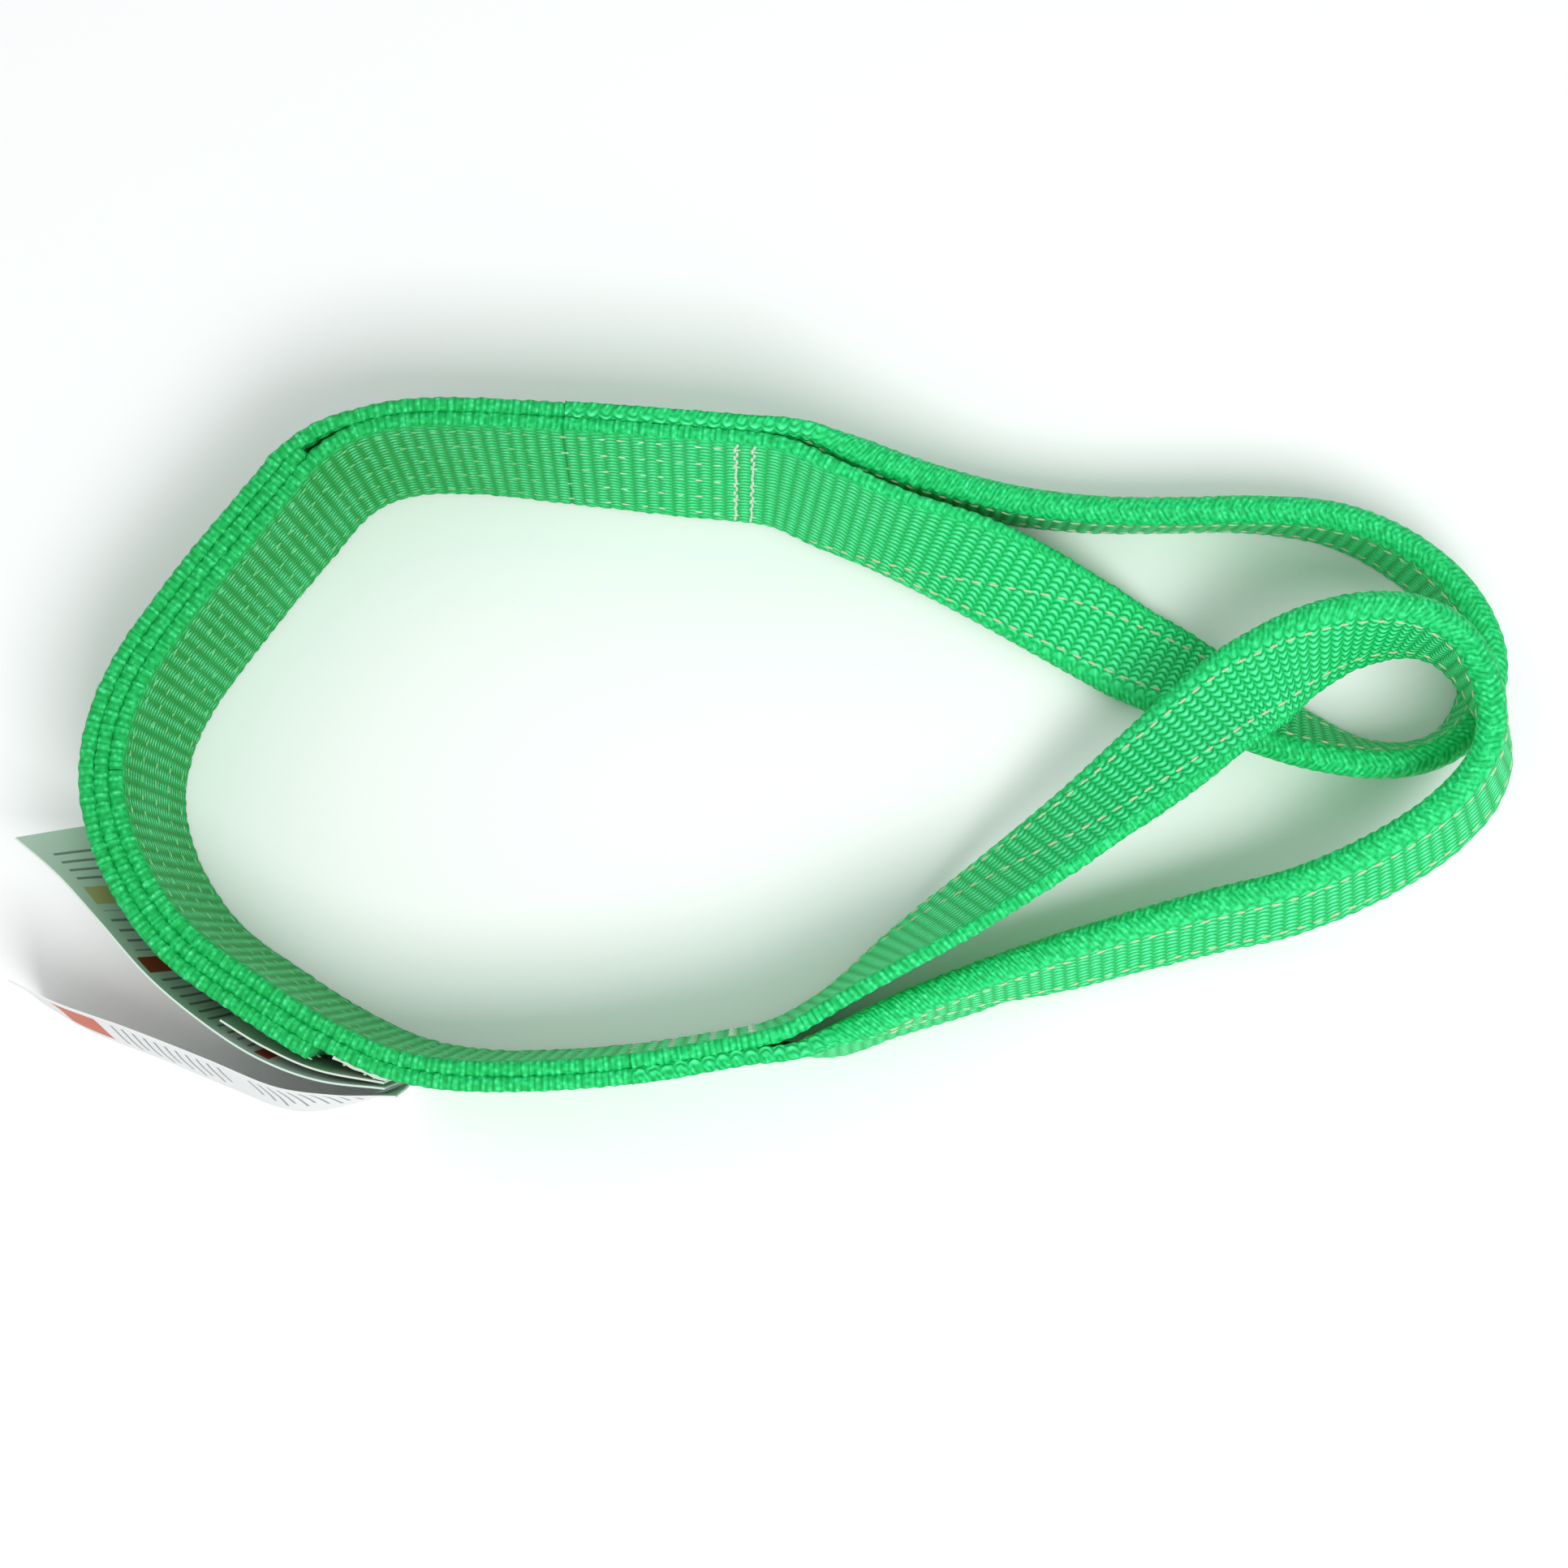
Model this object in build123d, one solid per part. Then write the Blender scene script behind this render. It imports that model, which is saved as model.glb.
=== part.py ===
from build123d import *

import os
from math import ceil, cos, hypot, radians, sin

# Flat web sling, eye and eye, folded eyes with a half twist, lying on its edge.
# Frame: millimetres, +Z up, origin on the supporting surface under the middle
# of the whole sling, +X from the bent body towards the two eyes.

# Driving dimensions
web_width = 50.8        # nominal 2 in webbing
web_thickness = 3.7     # one layer of webbing
ply_pitch = 3.75        # layer to layer where layers are sewn together
hinge_gap = 2.0         # web left out on each side of a bending line
section_step = 9.0      # largest distance between lofted sections

thread_width = 0.9      # lockstitch thread laid on the web face
thread_height = 0.35
cross_seam_width = 1.3  # doubled thread of the seams across the web
cross_seam_height = 0.5
cross_seam_margin = 3.0                 # from either selvage to the end of a seam
throat_seams = (2.5, 7.0)               # seams across the web, from the throat end
tail_end_seam = 3.0                     # seam across the web, from a cut end
body_rows = (0.1, 0.3, 0.5, 0.7, 0.9)   # rows of stitching as shares of the width
eye_rows = (0.22, 0.84)                 # rows as shares of the folded-over strip
row_margin = 5.0        # rows start once the folded strip is this wide
strap_rest = 0.45       # the eyes rest on their stitching

tag_height = 45.0
tag_thickness = 0.6
tab_thickness = 1.2     # the three tag ends sewn flat on the web
tab_gap = 0.2           # thread and folds between the tag ends and the web
least_leg = 1.0         # folded-back leg where the fold begins

# Body: inner face of the continuous layer along the floor, from the upper
# throat round to the lower throat. x, y, outward lean in degrees.
body_route = [
    (0.0, 71.0, 11.0), (-25.0, 73.5, 10.5), (-55.0, 77.0, 9.0), (-81.5, 80.0, 7.0),
    (-99.5, 79.3, 6.5), (-111.5, 74.0, 6.5), (-122.0, 61.5, 6.5), (-142.5, 35.0, 6.5),
    (-156.5, 13.0, 6.5), (-161.0, -6.0, 6.5), (-156.5, -24.0, 6.5), (-144.5, -41.5, 6.5),
    (-126.0, -55.0, 6.5), (-108.0, -66.0, 6.5), (-90.0, -73.5, 6.5), (-67.5, -76.0, 6.0),
    (-35.5, -74.0, 6.0), (-1.5, -68.7, 5.5),
]
upper_throat, upper_crease, outer_ply_end, lower_crease, lower_throat = 0, 5, 13, 14, 17

# Eyes: line of the fold edge. x, y, roll of the strap about its own length in
# degrees, width of the front leg of the fold, clearance under the strap.
upper_eye_route = [
    (3.5, 73.6, 11.0, 50.8, 0.0), (16.5, 66.6, 13.0, 48.0, 0.0),
    (35.5, 57.2, 20.0, 41.0, 0.0), (57.5, 44.2, 42.0, 33.0, 0.0),
    (75.5, 33.0, 65.0, 28.0, 0.0), (94.5, 22.0, 90.0, 26.0, 0.0),
    (114.5, 11.5, 116.0, 25.9, 0.0), (129.5, 5.5, 133.0, 25.9, 0.0),
    (146.0, 0.5, 146.0, 25.9, 0.0), (163.0, -1.5, 160.0, 25.9, 0.0),
    (177.0, 0.5, 168.0, 25.9, 0.0), (188.5, 7.5, 175.0, 25.9, 0.0),
    (195.5, 20.0, 178.0, 25.9, 0.0), (195.5, 34.0, 178.0, 25.9, 0.0),
    (187.5, 49.0, 178.0, 25.9, 0.0), (173.0, 61.0, 180.0, 25.9, 0.0),
    (155.0, 68.0, 183.0, 25.9, 0.0), (133.5, 69.5, 187.0, 25.9, 0.0),
    (111.5, 69.0, 188.0, 25.9, 0.0), (89.5, 69.5, 187.0, 25.9, 0.0),
    (67.0, 72.0, 186.0, 28.0, 0.0), (44.5, 76.0, 183.0, 36.0, 0.0),
    (26.0, 81.0, 179.0, 43.5, 0.0), (13.0, 86.4, 174.0, 48.5, 0.0),
    (5.0, 88.2, 170.0, 50.8, 0.0),
]
lower_eye_route = [
    (3.0, -71.4, 6.0, 50.8, 0.0), (18.5, -61.5, 7.0, 47.0, 1.0),
    (36.0, -45.0, 17.0, 41.5, 5.0), (57.0, -27.5, 30.0, 33.0, 10.0),
    (78.0, -9.5, 47.0, 27.5, 17.5), (95.5, 7.0, 64.0, 25.9, 24.0),
    (115.0, 25.0, 88.0, 25.9, 27.5), (127.5, 32.5, 108.0, 25.9, 27.5),
    (140.5, 37.0, 132.0, 25.9, 27.5), (156.0, 39.2, 150.0, 25.9, 27.5),
    (171.0, 37.0, 163.0, 25.9, 27.5), (182.0, 28.5, 178.0, 25.9, 27.5),
    (187.0, 14.0, 190.0, 25.9, 27.5), (185.0, 0.0, 204.0, 25.9, 27.0),
    (175.5, -12.0, 208.0, 25.9, 24.0), (160.0, -22.5, 208.0, 25.9, 17.0),
    (140.0, -31.0, 208.0, 25.9, 8.0), (119.0, -36.2, 206.0, 25.9, 2.5),
    (97.0, -42.3, 204.0, 25.9, 0.0), (76.0, -49.0, 201.0, 26.5, 0.0),
    (55.0, -57.0, 196.0, 32.5, 0.0), (35.0, -66.0, 189.0, 40.0, 0.0),
    (19.0, -74.5, 184.0, 46.5, 0.0), (11.0, -79.0, 178.0, 49.0, 0.0),
    (3.5, -81.8, 174.0, 50.8, 0.0),
]

# Tags: foot of each sheet from its sewn end. x, y, outward lean in degrees.
cover_route = [(-97.0, -81.0, 7.0), (-113.5, -77.6, 7.0), (-126.0, -71.6, 7.5), (-137.0, -64.6, 8.0)]
care_route = [
    (-97.0, -82.4, 7.0), (-113.5, -79.8, 7.5), (-128.0, -73.8, 8.0), (-142.0, -64.0, 9.0),
    (-154.0, -52.5, 11.0), (-164.5, -38.0, 14.0), (-172.5, -23.5, 20.0), (-178.5, -12.5, 27.0),
]
rating_route = [
    (-97.0, -84.0, 8.0), (-111.0, -89.0, 0.5), (-128.0, -91.5, -6.5), (-146.0, -85.7, -8.0),
    (-166.0, -77.5, -7.0), (-184.0, -70.3, -6.0), (-197.0, -63.0, -5.0),
]


def between(a, b, c, d, t):
    """Point at share t from row b to row c of a smooth line through all four."""
    return tuple(
        0.5 * (2 * q + (r - p) * t + (2 * p - 5 * q + 4 * r - s) * t**2 + (3 * q - p - 3 * r + s) * t**3)
        for p, q, r, s in zip(a, b, c, d)
    )


def mirrored_end(end, neighbour):
    return tuple(2 * e - n for e, n in zip(end, neighbour))


def smooth(route, step=section_step, first=0, last=None):
    """Rows of the route from row first to row last, no further apart than step."""
    last = len(route) - 1 if last is None else last
    rows = [mirrored_end(route[0], route[1])] + route + [mirrored_end(route[-1], route[-2])]
    out = []
    for i in range(first, last):
        span = hypot(route[i + 1][0] - route[i][0], route[i + 1][1] - route[i][1])
        pieces = ceil(span / step)
        out += [between(*rows[i:i + 4], k / pieces) for k in range(pieces)]
    return out + [route[last]]


def directions(rows):
    """Unit direction of travel at each row."""
    out = []
    for i in range(len(rows)):
        a, b = rows[max(i - 1, 0)], rows[min(i + 1, len(rows) - 1)]
        length = hypot(b[0] - a[0], b[1] - a[1])
        out.append(Vector((b[0] - a[0]) / length, (b[1] - a[1]) / length, 0))
    return out


def trimmed(rows, start, end):
    """Rows with a length taken off each end, measured along the line."""
    def cut(line, length):
        while length > 0:
            a, b = line[0], line[1]
            span = hypot(b[0] - a[0], b[1] - a[1])
            if span > length:
                share = length / span
                return [tuple(p + (q - p) * share for p, q in zip(a, b))] + line[1:]
            line, length = line[1:], length - span
        return line
    return cut(cut(rows, start)[::-1], end)[::-1]


def loft(sections):
    return Solid.make_loft([Wire.make_polygon(points, close=True) for points in sections])


def rail_strip(sections):
    """Thin solid whose long edges are smooth lines through the outlines' corners."""
    shares = [0.0]
    for a, b in zip(sections, sections[1:]):
        shares.append(shares[-1] + (b[0] - a[0]).length)
    shares = [share / shares[-1] for share in shares]
    rails = [Edge.make_spline(list(line), parameters=shares) for line in zip(*sections)]
    faces = [Face.make_surface_from_curves(a, b) for a, b in zip(rails, rails[1:] + rails[:1])]
    caps = [Face(Wire.make_polygon(points, close=True)) for points in (sections[0], sections[-1])]
    return Solid(Shell(faces + caps))


def body_part(first, last, start_gap, end_gap):
    """Rows and directions of one stretch of the body, its ends cut at bending lines."""
    whole = smooth(body_route)
    ways = dict(zip(whole, directions(whole)))
    kept = trimmed(smooth(body_route, first=first, last=last), start_gap, end_gap)
    return kept, [ways.get(row, way) for row, way in zip(kept, directions(kept))]


def standing_strip(part, inner, outer, low=0.0, high=web_width):
    """Strip standing on the floor, between two distances outside the inner face."""
    sections = []
    for (x, y, lean), way in zip(*part):
        out = Vector(way.Y, -way.X, 0)
        up = Vector(0, 0, cos(radians(lean))) + out * sin(radians(lean))
        foot = Vector(x, y, 0)
        near, far = foot + out * (inner / cos(radians(lean))), foot + out * (outer / cos(radians(lean)))
        sections.append([near + up * low, far + up * low, far + up * high, near + up * high])
    return loft(sections)


def ply(part, layer):
    return standing_strip(part, layer * ply_pitch, layer * ply_pitch + web_thickness)


def body_thread_rows(part, face, outward):
    """Thread of all the rows on one face, proud of it by the thread height."""
    inner, outer = (face, face + thread_height) if outward else (face - thread_height, face)
    rows = []
    for share in body_rows:
        middle = share * web_width
        rows.append(standing_strip(part, inner, outer, middle - thread_width / 2, middle + thread_width / 2))
    return Compound(children=rows)


def cross_seams(part, places, thickness, both_faces=True):
    """Seams across the web, proud of its faces, at distances from the part's start."""
    bars = []
    for place in places:
        (x, y, lean), (next_x, next_y, _) = trimmed(part[0], place, 0)[:2]
        way = Vector(next_x - x, next_y - y, 0).normalized()
        end = (x + way.X * cross_seam_width, y + way.Y * cross_seam_width, lean)
        for inner in (-cross_seam_height, thickness) if both_faces else (thickness,):
            bars.append(standing_strip(([(x, y, lean), end], [way, way]), inner, inner + cross_seam_height,
                                       cross_seam_margin, web_width - cross_seam_margin))
    return Compound(children=bars)


def strap_frames(route, side):
    """Fold edge, width direction and outward face direction of an eye strap."""
    rows = smooth(route)
    frames = []
    for (x, y, roll, width, lift), way in zip(rows, directions(rows)):
        turn = radians(roll)
        left = Vector(-way.Y, way.X, 0) * side
        across = Vector(0, 0, cos(turn)) + left * sin(turn)
        face = way.cross(across) * side
        height = max(0.0, -width * cos(turn)) + web_thickness * abs(sin(turn)) + strap_rest + lift
        frames.append((Vector(x, y, height), across, face, width))
    return frames


def eye_strap(frames):
    """Webbing folded lengthwise: a full front leg and a back leg that grows from the throat."""
    sections = []
    for edge, across, face, width in frames:
        back = max(web_width - width, least_leg)
        outline = [
            (0, web_thickness), (width, web_thickness), (width, 0), (back, 0),
            (back, -web_thickness), (0, -web_thickness),
        ]
        sections.append([edge + across * u + face * v for u, v in outline])
    return loft(sections)


def eye_thread_row(frames, share):
    """One row of stitching through both legs of the fold, thread on both faces."""
    rows = [f for f in frames if web_width - f[3] > row_margin]
    threads = []
    for low, high in ((web_thickness, web_thickness + thread_height),
                      (-web_thickness - thread_height, -web_thickness)):
        sections = []
        for edge, across, face, width in rows:
            middle = share * (web_width - width)
            near, far = middle - thread_width / 2, middle + thread_width / 2
            outline = [(near, low), (far, low), (far, high), (near, high)]
            sections.append([edge + across * u + face * v for u, v in outline])
        threads.append(rail_strip(sections))
    return Compound(children=threads)


def part_length(part):
    rows = part[0]
    return sum(hypot(b[0] - a[0], b[1] - a[1]) for a, b in zip(rows, rows[1:]))


def tag(route):
    rows = smooth(route)
    ways = [way * -1 for way in directions(rows)]
    return standing_strip((rows, ways), 0.0, tag_thickness, 0.0, tag_height)


def main():
    centre = body_part(upper_crease, lower_crease, hinge_gap, hinge_gap)
    centre_outer = body_part(upper_crease, outer_ply_end, hinge_gap, 0.0)
    tab_part = body_part(outer_ply_end, lower_crease, hinge_gap, hinge_gap)
    upper_arm = body_part(upper_throat, upper_crease, hinge_gap, hinge_gap)
    lower_arm = body_part(lower_crease, lower_throat, hinge_gap, hinge_gap)
    two_plies = ply_pitch + web_thickness
    three_plies = 2 * ply_pitch + web_thickness
    upper_frames = strap_frames(upper_eye_route, 1)
    lower_frames = strap_frames(lower_eye_route, -1)
    lower_throat_places = [part_length(lower_arm) - place - cross_seam_width for place in throat_seams]

    parts = {
        "centre_main_web": ply(centre, 0),
        "centre_lower_tail_web": ply(centre, 1),
        "centre_upper_tail_web": ply(centre_outer, 2),
        "upper_arm_main_web": ply(upper_arm, 0),
        "upper_arm_tail_web": ply(upper_arm, 1),
        "lower_arm_main_web": ply(lower_arm, 0),
        "lower_arm_tail_web": ply(lower_arm, 1),
        "upper_eye_web": eye_strap(upper_frames),
        "lower_eye_web": eye_strap(lower_frames),
        "centre_needle_thread": body_thread_rows(centre, 0.0, False),
        "centre_bobbin_thread": body_thread_rows(centre_outer, three_plies, True),
        "upper_arm_needle_thread": body_thread_rows(upper_arm, 0.0, False),
        "upper_arm_bobbin_thread": body_thread_rows(upper_arm, two_plies, True),
        "lower_arm_needle_thread": body_thread_rows(lower_arm, 0.0, False),
        "lower_arm_bobbin_thread": body_thread_rows(lower_arm, two_plies, True),
        "upper_throat_seam": cross_seams(upper_arm, throat_seams, two_plies),
        "lower_throat_seam": cross_seams(lower_arm, lower_throat_places, two_plies),
        "upper_tail_end_seam": cross_seams(
            centre_outer, (part_length(centre_outer) - tail_end_seam,), three_plies, False),
        "upper_eye_fold_seam": eye_thread_row(upper_frames, eye_rows[0]),
        "upper_eye_edge_seam": eye_thread_row(upper_frames, eye_rows[1]),
        "lower_eye_fold_seam": eye_thread_row(lower_frames, eye_rows[0]),
        "lower_eye_edge_seam": eye_thread_row(lower_frames, eye_rows[1]),
        "tag_sewn_ends": standing_strip(
            tab_part, two_plies + tab_gap, two_plies + tab_gap + tab_thickness, tab_gap, tag_height),
        "cover_tag": tag(cover_route),
        "care_tag": tag(care_route),
        "rating_tag": tag(rating_route),
    }
    os.makedirs("parts", exist_ok=True)
    for name, shape in parts.items():
        export_step(shape, f"parts/{name}.step")
        box = shape.bounding_box()
        print(f"{name:26s} z {box.min.Z:6.2f} to {box.max.Z:6.2f} volume {shape.volume:9.1f}")
    whole = Compound(children=list(parts.values())).bounding_box()
    print("low", whole.min, "high", whole.max)
    return parts


if __name__ == "__main__":
    main()
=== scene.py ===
from math import radians

import bmesh
import bpy
import numpy as np
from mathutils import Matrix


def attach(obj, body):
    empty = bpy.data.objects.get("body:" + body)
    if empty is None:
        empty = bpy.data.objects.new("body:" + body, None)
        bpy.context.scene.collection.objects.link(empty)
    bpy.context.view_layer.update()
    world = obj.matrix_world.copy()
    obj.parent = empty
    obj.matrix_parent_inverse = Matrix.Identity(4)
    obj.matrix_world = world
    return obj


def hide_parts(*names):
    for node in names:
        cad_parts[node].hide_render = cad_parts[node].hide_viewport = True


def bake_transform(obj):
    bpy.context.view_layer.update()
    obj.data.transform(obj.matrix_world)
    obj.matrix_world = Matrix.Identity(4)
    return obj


# Flat web sling: two twisted, folded eyes and a layered body lying on its edge.
# Everything is in metres inside Blender; the web's own sizes below are in millimetres.

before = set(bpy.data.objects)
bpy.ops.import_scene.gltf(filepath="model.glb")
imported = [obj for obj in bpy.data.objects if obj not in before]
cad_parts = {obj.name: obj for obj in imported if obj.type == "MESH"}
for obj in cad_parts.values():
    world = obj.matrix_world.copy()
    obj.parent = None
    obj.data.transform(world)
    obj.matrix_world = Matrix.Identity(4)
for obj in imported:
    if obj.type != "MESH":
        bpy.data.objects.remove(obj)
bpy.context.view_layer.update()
mm = 0.001

web = {
    "width": 50.8,
    "thickness": 3.7,
    "layerPitch": 3.75,
    "sampleStep": 0.64,       # distance between rows of points along the web
    "ribPitch": 3.6,
    "ribHeight": 0.34,
    "selvageBumpPitch": 3.9,
    "selvageBumpHeight": 0.42,
    "knitPitch": 3.4,         # V stitches along the fold
    "knitHeight": 0.4,
    "knitSlope": 3.6,
    "strapRest": 0.45,
}

# inner face of the continuous layer along the floor: x, y, outward lean in degrees
bodyRoute = [
    (0.0, 71.0, 11.0), (-25.0, 73.5, 10.5), (-55.0, 77.0, 9.0), (-81.5, 80.0, 7.0),
    (-99.5, 79.3, 6.5), (-111.5, 74.0, 6.5), (-122.0, 61.5, 6.5), (-142.5, 35.0, 6.5),
    (-156.5, 13.0, 6.5), (-161.0, -6.0, 6.5), (-156.5, -24.0, 6.5), (-144.5, -41.5, 6.5),
    (-126.0, -55.0, 6.5), (-108.0, -66.0, 6.5), (-90.0, -73.5, 6.5), (-67.5, -76.0, 6.0),
    (-35.5, -74.0, 6.0), (-1.5, -68.7, 5.5),
]
# fold edge of each eye: x, y, roll in degrees, width of the front leg, clearance below
upperEyeRoute = [
    (3.5, 73.6, 11.0, 50.8, 0.0), (16.5, 66.6, 13.0, 48.0, 0.0),
    (35.5, 57.2, 20.0, 41.0, 0.0), (57.5, 44.2, 42.0, 33.0, 0.0),
    (75.5, 33.0, 65.0, 28.0, 0.0), (94.5, 22.0, 90.0, 26.0, 0.0),
    (114.5, 11.5, 116.0, 25.9, 0.0), (129.5, 5.5, 133.0, 25.9, 0.0),
    (146.0, 0.5, 146.0, 25.9, 0.0), (163.0, -1.5, 160.0, 25.9, 0.0),
    (177.0, 0.5, 168.0, 25.9, 0.0), (188.5, 7.5, 175.0, 25.9, 0.0),
    (195.5, 20.0, 178.0, 25.9, 0.0), (195.5, 34.0, 178.0, 25.9, 0.0),
    (187.5, 49.0, 178.0, 25.9, 0.0), (173.0, 61.0, 180.0, 25.9, 0.0),
    (155.0, 68.0, 183.0, 25.9, 0.0), (133.5, 69.5, 187.0, 25.9, 0.0),
    (111.5, 69.0, 188.0, 25.9, 0.0), (89.5, 69.5, 187.0, 25.9, 0.0),
    (67.0, 72.0, 186.0, 28.0, 0.0), (44.5, 76.0, 183.0, 36.0, 0.0),
    (26.0, 81.0, 179.0, 43.5, 0.0), (13.0, 86.4, 174.0, 48.5, 0.0),
    (5.0, 88.2, 170.0, 50.8, 0.0),
]
lowerEyeRoute = [
    (3.0, -71.4, 6.0, 50.8, 0.0), (18.5, -61.5, 7.0, 47.0, 1.0),
    (36.0, -45.0, 17.0, 41.5, 5.0), (57.0, -27.5, 30.0, 33.0, 10.0),
    (78.0, -9.5, 47.0, 27.5, 17.5), (95.5, 7.0, 64.0, 25.9, 24.0),
    (115.0, 25.0, 88.0, 25.9, 27.5), (127.5, 32.5, 108.0, 25.9, 27.5),
    (140.5, 37.0, 132.0, 25.9, 27.5), (156.0, 39.2, 150.0, 25.9, 27.5),
    (171.0, 37.0, 163.0, 25.9, 27.5), (182.0, 28.5, 178.0, 25.9, 27.5),
    (187.0, 14.0, 190.0, 25.9, 27.5), (185.0, 0.0, 204.0, 25.9, 27.0),
    (175.5, -12.0, 208.0, 25.9, 24.0), (160.0, -22.5, 208.0, 25.9, 17.0),
    (140.0, -31.0, 208.0, 25.9, 8.0), (119.0, -36.2, 206.0, 25.9, 2.5),
    (97.0, -42.3, 204.0, 25.9, 0.0), (76.0, -49.0, 201.0, 26.5, 0.0),
    (55.0, -57.0, 196.0, 32.5, 0.0), (35.0, -66.0, 189.0, 40.0, 0.0),
    (19.0, -74.5, 184.0, 46.5, 0.0), (11.0, -79.0, 178.0, 49.0, 0.0),
    (3.5, -81.8, 174.0, 50.8, 0.0),
]


def smoothRows(rows, perSpan=12):
    rows = np.array(rows, float)
    ends = np.vstack([2 * rows[0] - rows[1], rows, 2 * rows[-1] - rows[-2]])
    t = np.linspace(0, 1, perSpan, endpoint=False)[:, None]
    out = []
    for i in range(len(rows) - 1):
        p, q, r, s = ends[i:i + 4]
        out.append(0.5 * (2 * q + (r - p) * t + (2 * p - 5 * q + 4 * r - s) * t**2
                          + (3 * q - p - 3 * r + s) * t**3))
    return np.vstack(out + [rows[-1:]])


def unit(v):
    return v / np.linalg.norm(v, axis=-1, keepdims=True)


def travel(xy):
    way = np.gradient(xy, axis=0)
    return unit(np.column_stack([way, np.zeros(len(way))]))


def stations(pos, across, face, width):
    return {"pos": pos, "across": across, "face": face, "width": width}


def eyeStations(route, side):
    rows = smoothRows(route)
    way = travel(rows[:, :2])
    turn = np.radians(rows[:, 2])[:, None]
    left = np.column_stack([-way[:, 1], way[:, 0], way[:, 2]]) * side
    across = np.array([0, 0, 1.0]) * np.cos(turn) + left * np.sin(turn)
    face = np.cross(way, across) * side
    height = (np.maximum(0, -rows[:, 3] * np.cos(turn[:, 0])) + web["thickness"] * abs(np.sin(turn[:, 0]))
              + web["strapRest"] + rows[:, 4])
    return stations(np.column_stack([rows[:, :2], height]), across, face, rows[:, 3])


def plyStations(layers, fromTop=False, start=0.0, end=1.0):
    # layers gives the layer number at each share of the body's length
    rows = smoothRows(bodyRoute)
    way = travel(rows[:, :2])
    out = np.column_stack([way[:, 1], -way[:, 0], way[:, 2]])
    lean = np.radians(rows[:, 2])[:, None]
    up = np.array([0, 0, 1.0]) * np.cos(lean) + out * np.sin(lean)
    normal = out * np.cos(lean) - np.array([0, 0, 1.0]) * np.sin(lean)
    share = lengthAlong(rows[:, :2])
    share = share / share[-1]
    layer = np.interp(share, [a for a, _ in layers], [b for _, b in layers])
    foot = np.column_stack([rows[:, :2], np.zeros(len(rows))])
    outer = foot + out * ((layer * web["layerPitch"] + web["thickness"])[:, None] / np.cos(lean))
    keep = (share >= start - 1e-9) & (share <= end + 1e-9)
    edge, across = (outer + up * web["width"], -up) if fromTop else (outer, up)
    return stations(edge[keep], across[keep], -normal[keep], np.full(keep.sum(), web["width"]))


def lengthAlong(points):
    return np.concatenate([[0], np.cumsum(np.linalg.norm(np.diff(points, axis=0), axis=1))])


def joined(*parts):
    return {key: np.concatenate([p[key] for p in parts]) for key in parts[0]}


def backwards(part):
    return {key: value[::-1] for key, value in part.items()}


def resampled(part, step):
    along = lengthAlong(part["pos"])
    count = int(along[-1] / step) + 1
    s = np.linspace(0, along[-1], count)
    column = lambda a: np.column_stack([np.interp(s, along, a[:, k]) for k in range(3)])
    pos = column(part["pos"])
    way = travel(pos[:, :2])    # seen from above, so a fold that sinks doesn't lean the web over
    across = column(part["across"])
    across = unit(across - way * (across * way).sum(1, keepdims=True))
    face = column(part["face"])
    face = face - way * (face * way).sum(1, keepdims=True)
    face = unit(face - across * (face * across).sum(1, keepdims=True))
    return {"pos": pos, "across": across, "face": face, "width": np.interp(s, along, part["width"]), "along": s}


def relaxed(part, passes, near):
    # evens out the short step where the web leaves the sewn body and becomes an eye
    for _ in range(passes):
        for key in ("pos", "across", "face", "width"):
            a = part[key]
            b = a.copy()
            b[1:-1] = (a[:-2] + a[1:-1] + a[2:]) / 3
            mask = near if a.ndim == 1 else near[:, None]
            part[key] = np.where(mask, b, a)
    return part


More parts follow.
